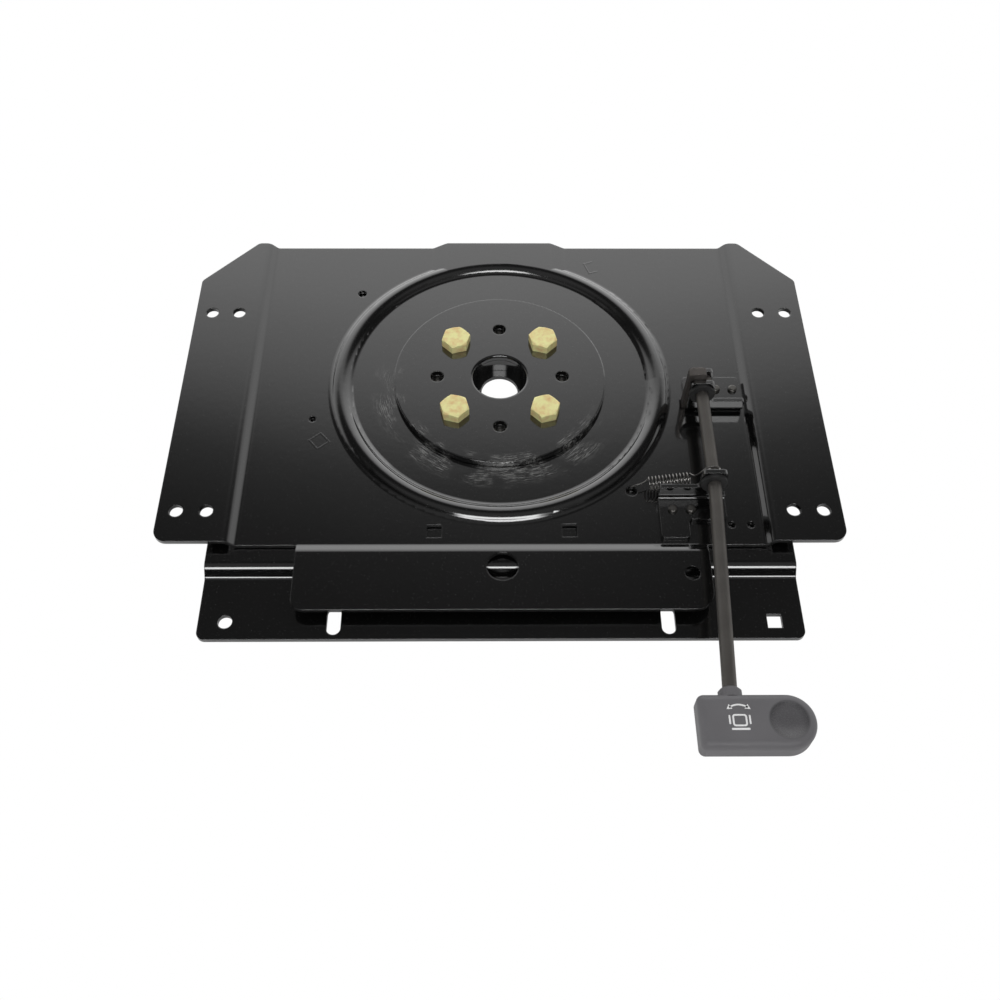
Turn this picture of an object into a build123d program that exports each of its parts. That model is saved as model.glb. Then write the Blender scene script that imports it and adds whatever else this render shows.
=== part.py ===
from build123d import *
import math
import os

# Swivel base that goes between a vehicle seat and its seat box.
# Millimetres. Z is the swivel axis, z = 0 is the face that rests on the seat box,
# X is to the right and -Y is the side of the release handle.

# Sheet and levels
sheet = 3.0
pan_drop = 6.0
plate_gap = 0.9
wing_rise = 5.0
tongue_rise = 1.5
bend_inside_radius = 3.5

# Ball race
race_radius = 105.2
ball_radius = 4.0
ball_play = 0.05
groove_radius = 4.2
bead_half_width = 8.4
bead_rim = 2.4
ball_count = 20
cage_half_width = 5.1
cage_thickness = 1.4
pocket_play = 0.15

# Centre: pan, hub and disc
pan_bore_radius = 12.2
pan_floor_radius = 62.0
pan_slope_run = 7.0
hub_radius = 54.9
hub_height = 10.5
centre_bore_radius = 17.5
disc_radius = 70.0
disc_thickness = 4.0
disc_edge_radius = 0.8
disc_rim_radius = 1.6
fixing_circle_radius = 41.3
fixing_count = 4
disc_bolt_radius = 5.0
disc_bolt_length = 12.0
disc_bolt_across_flats = 17.0
disc_bolt_head = 6.4
disc_bolt_chamfer = 0.8
disc_bolt_crown_inset = 0.25
disc_hole_play = 0.5
thread_runout = 1.5
hub_screw_radius = 4.0
hub_screw_length = 9.5
hub_screw_head_radius = 7.5
hub_screw_head = 2.8
access_hole_radius = 4.45
thread_fit = 0.03

# Slip ring between hub, disc and upper plate
slip_ring_wall = 2.0
slip_ring_flange_radius = 68.0
running_clearance = 0.05

# Upper plate
upper_half_width = 208.4
upper_front_y = -127.2
upper_back_y = 124.2
wing_foot_x = 160.8
wing_slope_run = 5.0
wing_hole_edge = 11.2
wing_hole_pitch = 18.4
chamfer_run_x = 36.0
chamfer_run_y = 37.3
wing_corner_radius = 8.0
chamfer_corner_radius = 5.0
wing_hole_radius = 4.25
wing_hole_back_y = 56.5
wing_hole_front_y = -105.5
tongue_left_x = -122.8
tongue_right_x = 124.7
tongue_front_y = -171.5
tongue_bend_y = -132.0
tongue_bend_run = 4.5
tongue_root = 4.0
tongue_corner_left = 8.0
tongue_corner_right = 12.0
tab_half_top = 37.0
tab_slope_run = 10.0
tab_margin = 9.0
tab_overhang = 1.6
tab_bend_radius = 6.0

# Lower plate
lower_half_width = 177.4
flange_front_y = -184.8
joggle_front_y = -143.4
joggle_run = 6.0
lower_taper_start_y = -60.0
waist_half_width = 150.0
waist_start_y = -5.0
foot_flare = 23.0
side_corner_radius = 12.0
lower_corner_radius = 5.0
back_corner_radius = 10.0
back_taper = 18.0
lower_back_y = 118.0
foot_inner_x = 118.0
foot_outer_x = 165.0
foot_joggle_y = 84.0
foot_root = 6.0
foot_back_y = 128.0
foot_hole_x = 141.0
foot_hole_y = 110.0
base_hole_radius = 4.25
slot_x = 98.0
slot_y = -172.8
slot_width = 8.3
slot_length = 18.0
round_hole_xy = (-161.6, -173.3)
square_hole_xy = (160.5, -173.6)
square_hole_side = 8.8

# Release lever
lever_axis_x = 128.6
lever_axis_height = 20.1
rod_radius = 4.0
ear_half_width = 7.6
ear_top_height = 29.0
ear_corner_radius = 3.0
front_wall_height = 13.4
rear_wall_height = 11.2
low_wall_round = 1.5
wall_step_radius = 2.0
bracket_bend_radius = 2.0
bracket_corner_radius = 2.0
front_ear_y = -95.0
front_base_left_x = 97.0
front_base_step_x = 114.5
front_base_long_y = -124.0
front_base_short_y = -111.0
front_base_right_x = 138.0
rear_ear_y = -26.4
rear_ear_pitch = 9.8
rear_base_right_x = 157.6
rear_base_back_y = 0.7
bush_wall = 1.2
front_flange_radius = 8.0
rear_flange_radius = 7.0
bush_flange = 2.0
washer_radius = 7.5
washer_thickness = 1.2
clip_radius = 7.0
clip_thickness = 1.0
clip_groove_depth = 0.9
clip_mouth = 5.4
clip_lobe_radius = 1.3
clip_lobe_drop = 0.5
rod_bend_y = -103.0
rod_bend_angle = 3.1
rod_bend_radius = 40.0
rod_overhang = 0.1
rod_tail_in_handle = 22.0
bracket_rivet_radius = 2.3
bracket_rivet_head_radius = 2.9
bracket_rivet_head = 2.2
bracket_rivet_round = 1.3
bracket_rivet_pitch = 11.0
front_rivet_xy = (105.1, -104.0)
rear_rivet_xy = (142.0, -10.0)
spare_hole_xy = (140.8, -113.1)
spare_hole_pitch = 11.7
spare_hole_radius = 2.25

# Locking pawl on the rod
pawl_side_gap = 0.35
pawl_hub_radius = 7.4
pawl_head_left = 9.2
pawl_head_right = 2.0
pawl_head_height = 13.6
pawl_head_round_left = 3.5
pawl_head_round_right = 2.5
pawl_root = 2.0
pawl_shoulder = (3.0, -5.0)
pawl_throat_z = -11.0
pawl_throat_radius = 4.0
pawl_finger_left = 10.0
pawl_finger_right = 5.0
pawl_tip_clearance = 0.35
pawl_lock_angle = 12.0
slot_side_gap = 0.6
slot_end_gap = 2.2
notch_play = 0.5
notch_end_gap = 1.5
lock_turns = (0, 180, 270)

# Handle
handle_left_x = 102.3
handle_right_x = 164.5
handle_back_y = -234.6
handle_depth = 30.5
handle_thickness = 15.0
handle_top_round = 4.6
handle_bottom_round = 2.6
handle_corner_radius = 3.6
dimple_radius = 10.5
dimple_depth = 2.6
handle_socket_radius = 6.4
handle_socket_length = 5.0
handle_socket_chamfer = 1.6

# Return spring
spring_wire_radius = 0.5
spring_radius = 4.0
spring_turns = 12
spring_start = (91.5, -87.1, 6.4)
spring_end = (116.5, -87.1, 11.6)
spring_hole_xy = (81.4, -88.3)
spring_hole_radius = 3.5

# Small openings of the upper plate
tongue_hole_xy = (0.9, -142.5)
tongue_hole_radius = 9.5
side_hole_xy = (113.3, -147.5)
side_hole_radius = 4.5
square_pair = ((-40.4, -117.2), (41.8, -116.8))
square_pair_side = 9.0
vent_hole = (-96.0, 79.0, 3.0)
gauge_hole = (-121.4, -31.9, 2.25)

# Worked out from the sizes above
main_bottom = pan_drop
main_top = main_bottom + sheet
upper_bottom = main_top + plate_gap
upper_top = upper_bottom + sheet
ball_height = (main_top + upper_bottom) / 2
hub_top = sheet + hub_height
disc_top = hub_top + disc_thickness
wing_bottom = upper_bottom + wing_rise
wing_hole_outer_x = upper_half_width - wing_hole_edge
wing_hole_inner_x = wing_hole_outer_x - wing_hole_pitch
tongue_bottom = upper_bottom + tongue_rise
tongue_root_y = tongue_bend_y + tongue_bend_run + tongue_root
lever_axis_z = upper_top + lever_axis_height
upper_hole_radius = hub_radius + running_clearance + slip_ring_wall
race_outer = race_radius + bead_half_width
race_inner = race_radius - bead_half_width
race_ring_outer = race_outer + bead_rim
bead_rise = ball_height + ball_radius + ball_play - upper_bottom
tab_half_foot = tab_half_top + tab_slope_run
tab_half_blank = tab_half_foot + tab_margin
tab_back_y = upper_back_y + tab_overhang
foot_start_y = foot_joggle_y - foot_root
rear_ear_back_y = rear_ear_y + rear_ear_pitch
rod_back_y = rear_ear_back_y + sheet + bush_flange + rod_overhang
pawl_front_y = rear_ear_y + sheet + pawl_side_gap
pawl_back_y = rear_ear_back_y - pawl_side_gap
bush_bore_radius = rod_radius + running_clearance
bush_outer_radius = bush_bore_radius + bush_wall
washer_front_y = front_ear_y + sheet
clip_front_y = washer_front_y + washer_thickness
cut_depth = 2 * (upper_top + ear_top_height)


def cylinder_at(x, y, z, radius, height):
    """Upright cylinder with its lower face at z."""
    return Pos(x, y, z) * Cylinder(radius, height, align=(Align.CENTER, Align.CENTER, Align.MIN))


def box_between(x0, x1, y0, y1, z0, z1):
    """Block between two corners."""
    return Pos((x0 + x1) / 2, (y0 + y1) / 2, (z0 + z1) / 2) * Box(x1 - x0, y1 - y0, z1 - z0)


def through_hole(x, y, radius):
    """Cutter for a round hole through every level."""
    return cylinder_at(x, y, -cut_depth / 2, radius, cut_depth)


def square_cutter(x, y, side):
    """Cutter for a square hole through every level."""
    half = side / 2
    return box_between(x - half, x + half, y - half, y + half, -cut_depth / 2, cut_depth / 2)


def along_y(x, z, y0, y1, radius):
    """Cylinder along Y between y0 and y1."""
    plane = Plane(origin=(x, y0, z), x_dir=(1, 0, 0), z_dir=(0, 1, 0))
    return extrude(plane * Circle(radius), y1 - y0)


def face_in_xz(face, y0, y1):
    """Extrude a face that is drawn in X and Z from y0 back to y1."""
    plane = Plane(origin=(0, y1, 0), x_dir=(1, 0, 0), z_dir=(0, -1, 0))
    return extrude(plane * face, y1 - y0)


def face_in_yz(face, x0, x1):
    """Extrude a face that is drawn in Y and Z from x0 to x1."""
    plane = Plane(origin=(x0, 0, 0), x_dir=(0, 1, 0), z_dir=(1, 0, 0))
    return extrude(plane * face, x1 - x0)


def round_corners(face, corners):
    """Fillet the corners of a flat face, given as (x, y, radius)."""
    for x, y, radius in corners:
        corner = min(face.vertices(), key=lambda v: math.hypot(v.X - x, v.Y - y))
        face = fillet(corner, radius)
    return face


def polygon(points):
    """Flat face through the points."""
    return Sketch() + make_face(Polyline(*points, close=True))


def prism(face, z0, z1):
    """Upright prism on a flat outline."""
    return extrude(Pos(0, 0, z0) * face, z1 - z0)


def sheet_section(line, inside_radius=bend_inside_radius, thickness=sheet):
    """Section of a bent sheet whose lower side follows the points of line."""
    headings = []
    for (u0, w0), (u1, w1) in zip(line, line[1:]):
        length = math.hypot(u1 - u0, w1 - w0)
        headings.append(((u1 - u0) / length, (w1 - w0) / length))
    upper = []
    bends = []
    for index, (u, w) in enumerate(line):
        before = headings[max(index - 1, 0)]
        after = headings[min(index, len(headings) - 1)]
        share = thickness / (1 + before[0] * after[0] + before[1] * after[1])
        over = (u - (before[1] + after[1]) * share, w + (before[0] + after[0]) * share)
        upper.append(over)
        turn = before[0] * after[1] - before[1] * after[0]
        if abs(turn) > 1e-6:
            inner, outer = inside_radius, inside_radius + thickness
            bends.append((u, w, outer if turn > 0 else inner))
            bends.append((over[0], over[1], inner if turn > 0 else outer))
    return round_corners(polygon(list(line) + upper[::-1]), bends)


def arc(centre, radius, start, end):
    """Arc about centre from one angle to another, in degrees."""
    def at(angle):
        turn = math.radians(angle)
        return (centre[0] + radius * math.cos(turn), centre[1] + radius * math.sin(turn))
    return ThreePointArc(at(start), at((start + end) / 2), at(end))


def bead_side(offset):
    """Three arcs of the bead, on its upper side or offset below it."""
    crown = groove_radius + sheet
    crown_z = ball_height + ball_radius + ball_play - groove_radius
    over = upper_top - crown_z
    foot = (bead_half_width ** 2 + over ** 2 - crown ** 2) / (2 * (crown - over))
    foot_z = upper_top + foot
    lean = math.degrees(math.atan2(foot_z - crown_z, bead_half_width))
    return [
        arc((race_inner, foot_z), foot + offset, -90, -lean),
        arc((race_radius, crown_z), crown - offset, 180 - lean, lean),
        arc((race_outer, foot_z), foot + offset, 180 + lean, 270),
    ]


def closed_below(offset, floor):
    """Area between one side of the bead and a level below it."""
    return make_face(bead_side(offset) + [
        Line((race_outer, upper_top - offset), (race_outer, floor)),
        Line((race_outer, floor), (race_inner, floor)),
        Line((race_inner, floor), (race_inner, upper_top - offset)),
    ])


def turned(face):
    """Revolve a face that is drawn in radius and height about the swivel axis."""
    return revolve(Plane.XZ * face, Axis.Z)


def flat_ring(inner, outer, z0, z1):
    """Ring about the swivel axis."""
    return turned(polygon([(inner, z0), (outer, z0), (outer, z1), (inner, z1)]))


def race_cavity():
    """Space below the bead, where the balls run."""
    return turned(closed_below(sheet, upper_bottom - sheet))


def race_ring():
    """Raised bead of the upper plate as a ring."""
    return turned(closed_below(0, upper_bottom)) - race_cavity()


def upper_outline():
    """Plan outline of the upper plate without its tongue."""
    half = upper_half_width
    back = upper_back_y
    front = upper_front_y
    face = polygon([
        (-half, front), (tongue_left_x, front), (tongue_left_x, tongue_root_y), (tongue_right_x, tongue_root_y),
        (tongue_right_x, front), (half, front), (half, back - chamfer_run_y),
        (half - chamfer_run_x, back), (chamfer_run_x - half, back), (-half, back - chamfer_run_y),
    ])
    return round_corners(face, [
        (-half, front, wing_corner_radius), (half, front, wing_corner_radius),
        (half, back - chamfer_run_y, chamfer_corner_radius), (-half, back - chamfer_run_y, chamfer_corner_radius),
        (half - chamfer_run_x, back, chamfer_corner_radius), (chamfer_run_x - half, back, chamfer_corner_radius),
    ])


def winged_sheet():
    """Flat middle and raised wings of the upper plate."""
    section = sheet_section([
        (-upper_half_width, wing_bottom), (-wing_foot_x - wing_slope_run, wing_bottom),
        (-wing_foot_x, upper_bottom), (wing_foot_x, upper_bottom),
        (wing_foot_x + wing_slope_run, wing_bottom), (upper_half_width, wing_bottom),
    ])
    blank = face_in_xz(section, upper_front_y, upper_back_y)
    return blank & prism(upper_outline(), 0, cut_depth)


def tongue():
    """Front tongue, a little higher than the plate."""
    section = sheet_section([
        (tongue_front_y, tongue_bottom), (tongue_bend_y, tongue_bottom),
        (tongue_bend_y + tongue_bend_run, upper_bottom), (tongue_root_y, upper_bottom),
    ])
    blank = face_in_yz(section, tongue_left_x, tongue_right_x)
    outline = polygon([
        (tongue_left_x, tongue_front_y), (tongue_right_x, tongue_front_y),
        (tongue_right_x, tongue_root_y), (tongue_left_x, tongue_root_y),
    ])
    outline = round_corners(outline, [
        (tongue_left_x, tongue_front_y, tongue_corner_left),
        (tongue_right_x, tongue_front_y, tongue_corner_right),
    ])
    return blank & prism(outline, 0, cut_depth)


def back_tab():
    """Level tab from the crown of the bead to just behind the back edge."""
    high = upper_bottom + bead_rise
    section = sheet_section([
        (-tab_half_blank, upper_bottom), (-tab_half_foot, upper_bottom), (-tab_half_top, high),
        (tab_half_top, high), (tab_half_foot, upper_bottom), (tab_half_blank, upper_bottom),
    ], inside_radius=tab_bend_radius)
    start = math.sqrt(race_radius ** 2 - tab_half_blank ** 2) - sheet
    outline = polygon([
        (-tab_half_blank, start), (tab_half_blank, start), (tab_half_blank, upper_back_y),
        (tab_half_foot, upper_back_y), (tab_half_top, tab_back_y), (-tab_half_top, tab_back_y),
        (-tab_half_foot, upper_back_y), (-tab_half_blank, upper_back_y),
    ])
    tab = face_in_xz(section, start, tab_back_y) & prism(outline, 0, cut_depth)
    return tab - cylinder_at(0, 0, 0, race_radius, cut_depth) - race_cavity()


def upper_plate():
    """Turning plate that carries the seat."""
    tab = back_tab()
    recess = box_between(
        -tab_half_blank, tab_half_blank, race_inner, tab_back_y, upper_bottom - 1, upper_top + bead_rise)
    recess = recess - cylinder_at(0, 0, 0, race_ring_outer, cut_depth)
    centre = flat_ring(upper_hole_radius, race_inner, upper_bottom, upper_top)
    rim = flat_ring(race_outer, race_ring_outer, upper_bottom, upper_top)
    sheet_out = winged_sheet() - cylinder_at(0, 0, 0, race_ring_outer, cut_depth)
    plate = (sheet_out - recess) + rim + race_ring() + centre + tongue() + tab
    cuts = []
    for side in (-1, 1):
        for x in (wing_hole_outer_x, wing_hole_inner_x):
            for y in (wing_hole_back_y, wing_hole_front_y):
                cuts.append(through_hole(side * x, y, wing_hole_radius))
    cuts.append(through_hole(*tongue_hole_xy, tongue_hole_radius))
    cuts.append(through_hole(*side_hole_xy, side_hole_radius))
    cuts.append(through_hole(*vent_hole))
    cuts.append(through_hole(*gauge_hole))
    cuts.append(through_hole(*spring_hole_xy, spring_hole_radius))
    for index in (0, 1):
        cuts.append(through_hole(spare_hole_xy[0] + index * spare_hole_pitch, spare_hole_xy[1], spare_hole_radius))
    for x, y in square_pair:
        cuts.append(square_cutter(x, y, square_pair_side))
    for x, y in rivet_places():
        cuts.append(through_hole(x, y, bracket_rivet_radius))
    cuts.append(pawl_slot(upper_bottom - 1, upper_top + 1))
    for cut in cuts:
        plate = plate - cut
    return plate


def lower_outline():
    """Plan outline of the lower plate without its feet."""
    half = lower_half_width
    waist = waist_half_width
    flare_y = foot_start_y - foot_flare
    back_x = foot_inner_x - back_taper
    right = [
        (half, flange_front_y), (half, lower_taper_start_y), (waist, waist_start_y), (waist, flare_y),
        (foot_outer_x, foot_start_y), (foot_inner_x, foot_start_y), (back_x, lower_back_y),
    ]
    left = [(-x, y) for x, y in reversed(right)]
    corners = []
    for side in (-1, 1):
        corners.append((side * half, flange_front_y, lower_corner_radius))
        corners.append((side * half, lower_taper_start_y, side_corner_radius))
        corners.append((side * waist, waist_start_y, side_corner_radius))
        corners.append((side * waist, flare_y, side_corner_radius))
        corners.append((side * back_x, lower_back_y, back_corner_radius))
    return round_corners(polygon(right + left), corners)


def rear_foot(side):
    """Foot that steps down behind the race."""
    section = sheet_section([
        (foot_start_y, main_bottom), (foot_joggle_y, main_bottom),
        (foot_joggle_y + joggle_run, 0), (foot_back_y, 0),
    ])
    x0, x1 = sorted((side * foot_inner_x, side * foot_outer_x))
    blank = face_in_yz(section, x0, x1)
    outline = polygon([(x0, foot_start_y), (x1, foot_start_y), (x1, foot_back_y), (x0, foot_back_y)])
    outline = round_corners(outline, [
        (x0, foot_back_y, lower_corner_radius), (x1, foot_back_y, lower_corner_radius)])
    foot = blank & prism(outline, -1, cut_depth)
    return foot - through_hole(side * foot_hole_x, foot_hole_y, base_hole_radius)


def slot_cutter(x, y):
    """Cutter for a slot that runs along Y."""
    shape = Pos(x, y) * (Rot(0, 0, 90) * SlotOverall(slot_length, slot_width))
    return prism(shape, -1, cut_depth)


def pan():
    """Sunk middle of the lower plate, out to the race."""
    return turned(sheet_section([
        (pan_bore_radius, 0), (pan_floor_radius, 0),
        (pan_floor_radius + pan_slope_run, main_bottom), (race_inner, main_bottom),
    ]))


def lower_plate():
    """Fixed plate that stands on the seat box."""
    section = sheet_section([
        (flange_front_y, 0), (joggle_front_y, 0),
        (joggle_front_y + joggle_run, main_bottom), (lower_back_y, main_bottom),
    ])
    blank = face_in_yz(section, -lower_half_width, lower_half_width)
    blank = blank & prism(lower_outline(), -1, cut_depth)
    blank = blank - cylinder_at(0, 0, -1, race_ring_outer, cut_depth)
    bead = race_ring().mirror(Plane.XY.offset(ball_height))
    rim = flat_ring(race_outer, race_ring_outer, main_bottom, main_top)
    plate = blank + rim + bead + pan()
    for side in (-1, 1):
        plate = plate + rear_foot(side)
    cuts = [slot_cutter(side * slot_x, slot_y) for side in (-1, 1)]
    cuts.append(through_hole(*round_hole_xy, base_hole_radius))
    cuts.append(square_cutter(*square_hole_xy, square_hole_side))
    for turn in lock_turns:
        cuts.append(Rot(0, 0, turn) * lock_notch())
    for x, y in fixing_places(0):
        cuts.append(screw_shape(x, y))
    for cut in cuts:
        plate = plate - cut
    return plate


def fixing_places(first_angle):
    """Places on the fixing circle, a quarter turn apart."""
    places = []
    for index in range(fixing_count):
        turn = math.radians(first_angle + index * 360 / fixing_count)
        places.append((fixing_circle_radius * math.cos(turn), fixing_circle_radius * math.sin(turn)))
    return places


def hub_ring():
    """Spacer ring that holds the disc above the upper plate."""
    hub = flat_ring(centre_bore_radius, hub_radius, sheet, hub_top)
    for x, y in fixing_places(45):
        depth = disc_bolt_length - disc_thickness + thread_runout
        hub = hub - cylinder_at(x, y, hub_top - depth, disc_bolt_radius + thread_fit, depth + 1)
    for x, y in fixing_places(0):
        hub = hub - through_hole(x, y, hub_screw_radius + thread_fit)
    return hub


def screw_shape(x, y):
    """Countersunk screw from below, through the pan into the hub."""
    face = polygon([
        (0, 0), (hub_screw_head_radius, 0), (hub_screw_radius, hub_screw_head),
        (hub_screw_radius, hub_screw_length), (0, hub_screw_length),
    ])
    return Pos(x, y, 0) * turned(face)


def hub_screws():
    """Four countersunk screws that hold the hub to the pan."""
    return Compound(children=[screw_shape(x, y) for x, y in fixing_places(0)])


def retaining_disc():
    """Disc that holds the upper plate down."""
    disc = flat_ring(centre_bore_radius, disc_radius, hub_top, disc_top)
    top_edges = disc.edges().filter_by(GeomType.CIRCLE).group_by(Axis.Z)[-1]
    inner, outer = top_edges.sort_by(SortBy.RADIUS)
    disc = fillet(outer, disc_edge_radius)
    inner = disc.edges().filter_by(GeomType.CIRCLE).filter_by(
        lambda e: abs(e.radius - centre_bore_radius) < 0.01 and e.center().Z > disc_top - 0.01)
    disc = fillet(inner, disc_rim_radius)
    for x, y in fixing_places(45):
        disc = disc - through_hole(x, y, disc_bolt_radius + disc_hole_play)
    for x, y in fixing_places(0):
        disc = disc - through_hole(x, y, access_hole_radius)
    return disc


def disc_bolt(x, y):
    """Hex bolt whose head sits on the disc."""
    head = extrude(RegularPolygon(disc_bolt_across_flats / 2, 6, major_radius=False), disc_bolt_head)
    crown = disc_bolt_across_flats / 2
    corner = crown / math.cos(math.pi / 6)
    dome = turned(polygon([
        (0, 0), (corner, 0), (corner, disc_bolt_head - disc_bolt_chamfer),
        (crown - disc_bolt_crown_inset, disc_bolt_head), (0, disc_bolt_head),
    ]))
    shank = cylinder_at(0, 0, -disc_bolt_length, disc_bolt_radius, disc_bolt_length)
    turn = math.degrees(math.atan2(y, x))
    return Pos(x, y, disc_top) * (Rot(0, 0, turn) * ((head & dome) + shank))


def disc_bolts():
    """Four hex bolts through the disc into the hub."""
    return Compound(children=[disc_bolt(x, y) for x, y in fixing_places(45)])


def slip_ring():
    """Plastic ring that centres the upper plate and slides under the disc."""
    inner = hub_radius + running_clearance
    top = hub_top - running_clearance
    return turned(polygon([
        (inner, upper_bottom), (upper_hole_radius, upper_bottom), (upper_hole_radius, upper_top),
        (slip_ring_flange_radius, upper_top), (slip_ring_flange_radius, top), (inner, top),
    ]))


def ball_places():
    """Centres of the balls on the race."""
    places = []
    for index in range(ball_count):
        turn = 2 * math.pi * (index + 0.5) / ball_count
        places.append((race_radius * math.cos(turn), race_radius * math.sin(turn)))
    return places


def ball_cage():
    """Flat ring that keeps the balls apart."""
    half = cage_thickness / 2
    cage = flat_ring(race_radius - cage_half_width, race_radius + cage_half_width,
                     ball_height - half, ball_height + half)
    for x, y in ball_places():
        cage = cage - through_hole(x, y, ball_radius + pocket_play)
    return cage


def balls():
    """Balls between the two beads."""
    return Compound(children=[Pos(x, y, ball_height) * Sphere(ball_radius) for x, y in ball_places()])


def rivet_places():
    """Rivets of both brackets."""
    places = []
    for x, y in (front_rivet_xy, rear_rivet_xy):
        places.append((x, y))
        places.append((x + bracket_rivet_pitch, y))
    return places


def rivet(x, y):
    """Rivet with a domed head on the bracket."""
    seat = upper_top + sheet
    head = cylinder_at(x, y, seat, bracket_rivet_head_radius, bracket_rivet_head)
    head = fillet(head.edges().group_by(Axis.Z)[-1], bracket_rivet_round)
    shank = cylinder_at(x, y, upper_bottom, bracket_rivet_radius, seat - upper_bottom + bracket_rivet_head / 2)
    return head + shank


def bracket_rivets(index):
    """The two rivets of one bracket."""
    places = rivet_places()[index * 2:index * 2 + 2]
    return Compound(children=[rivet(x, y) for x, y in places])


def ear_outline(low_from, low_to, low_height):
    """Upright wall with a tall ear round the rod and a low part beside it."""
    left = lever_axis_x - ear_half_width
    right = lever_axis_x + ear_half_width
    base = upper_top
    low = base + low_height
    top = base + ear_top_height
    if low_from < left:
        points = [(low_from, base), (right, base), (right, top), (left, top), (left, low), (low_from, low)]
        inner = (left, low, wall_step_radius)
        end = (low_from, low, low_wall_round)
    else:
        points = [(left, base), (low_to, base), (low_to, low), (right, low), (right, top), (left, top)]
        inner = (right, low, wall_step_radius)
        end = (low_to, low, low_wall_round)
    return round_corners(polygon(points), [
        (left, top, ear_corner_radius), (right, top, ear_corner_radius), inner, end])


def rod_hole(y0, y1, radius):
    """Cutter along the rod's axis."""
    return along_y(lever_axis_x, lever_axis_z, y0, y1, radius)


def front_bracket():
    """Angle bracket with the ear nearest the handle."""
    section = sheet_section([
        (front_base_long_y, upper_top), (front_ear_y + sheet, upper_top),
        (front_ear_y + sheet, upper_top + ear_top_height),
    ], inside_radius=bracket_bend_radius)
    blank = face_in_yz(section, front_base_left_x, front_base_right_x)
    base = polygon([
        (front_base_left_x, front_base_long_y), (front_base_step_x, front_base_long_y),
        (front_base_step_x, front_base_short_y), (front_base_right_x, front_base_short_y),
        (front_base_right_x, front_ear_y + sheet), (front_base_left_x, front_ear_y + sheet),
    ])
    base = round_corners(base, [
        (front_base_left_x, front_base_long_y, bracket_corner_radius),
        (front_base_step_x, front_base_long_y, bracket_corner_radius),
        (front_base_step_x, front_base_short_y, bracket_corner_radius),
        (front_base_right_x, front_base_short_y, bracket_corner_radius)])
    wall = ear_outline(front_base_left_x, front_base_right_x, front_wall_height)
    wall = face_in_xz(wall, front_base_long_y, front_ear_y + sheet)
    floor = box_between(front_base_left_x, front_base_right_x, front_base_long_y, front_ear_y + sheet,
                        upper_top, upper_top + sheet + bracket_bend_radius)
    bracket = (blank & prism(base, 0, cut_depth)) & (wall + floor)
    bracket = bracket - rod_hole(front_base_long_y, 0, bush_outer_radius)
    for x, y in rivet_places()[:2]:
        bracket = bracket - through_hole(x, y, bracket_rivet_radius)
    return bracket


def rear_bracket():
    """Bracket with two ears that hold the locking pawl between them."""
    left = lever_axis_x - ear_half_width
    right = lever_axis_x + ear_half_width
    section = sheet_section([
        (rear_ear_y, upper_top + ear_top_height), (rear_ear_y, upper_top), (rear_base_back_y, upper_top),
    ], inside_radius=bracket_bend_radius)
    blank = face_in_yz(section, left, rear_base_right_x)
    base = polygon([
        (right, rear_ear_y), (rear_base_right_x, rear_ear_y), (rear_base_right_x, rear_base_back_y),
        (left, rear_base_back_y), (left, rear_ear_back_y), (right, rear_ear_back_y),
    ])
    base = round_corners(base, [
        (rear_base_right_x, rear_base_back_y, bracket_corner_radius),
        (left, rear_base_back_y, bracket_corner_radius)])
    front_wall = ear_outline(left, rear_base_right_x, rear_wall_height)
    front_wall = face_in_xz(front_wall, rear_ear_y, rear_ear_y + sheet)
    floor = prism(base, upper_top, upper_top + sheet + bracket_bend_radius)
    bracket = blank & (front_wall + floor)
    back_section = sheet_section([
        (rear_ear_back_y, upper_top + ear_top_height), (rear_ear_back_y, upper_top),
        (rear_ear_back_y + 3 * sheet, upper_top),
    ], inside_radius=bracket_bend_radius)
    ear = polygon([
        (left, upper_top), (right, upper_top), (right, upper_top + ear_top_height),
        (left, upper_top + ear_top_height)])
    ear = round_corners(ear, [
        (left, upper_top + ear_top_height, ear_corner_radius),
        (right, upper_top + ear_top_height, ear_corner_radius)])
    back_ear = face_in_yz(back_section, left, right) & face_in_xz(ear, rear_ear_back_y, rear_base_back_y)
    front_edge = box_between(left - 1, right, rear_ear_y + sheet, rear_ear_back_y, 0, cut_depth)
    bracket = (bracket - front_edge) + back_ear
    bracket = bracket - rod_hole(rear_ear_y - 1, rear_base_back_y, bush_outer_radius)
    for x, y in rivet_places()[2:]:
        bracket = bracket - through_hole(x, y, bracket_rivet_radius)
    return bracket


def flanged_bush(ear_y, flange_in_front):
    """Plastic bush in one ear, with its flange against the ear."""
    if flange_in_front:
        flange = rod_hole(ear_y - bush_flange, ear_y, front_flange_radius)
    else:
        flange = rod_hole(ear_y + sheet, ear_y + sheet + bush_flange, rear_flange_radius)
    sleeve = rod_hole(ear_y, ear_y + sheet, bush_outer_radius)
    return (sleeve + flange) - rod_hole(ear_y - sheet, ear_y + 2 * sheet, bush_bore_radius)


def front_bush():
    """Bush in the ear nearest the handle."""
    return flanged_bush(front_ear_y, True)


def rear_bushes():
    """Bushes in the two rear ears, each with its flange outside."""
    return Compound(children=[
        flanged_bush(rear_ear_y, True), flanged_bush(rear_ear_back_y, False)])


def thrust_washer():
    """Washer behind the front ear."""
    ring = rod_hole(washer_front_y, washer_front_y + washer_thickness, washer_radius)
    return ring - rod_hole(washer_front_y - 1, clip_front_y + 1, bush_bore_radius)


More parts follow.
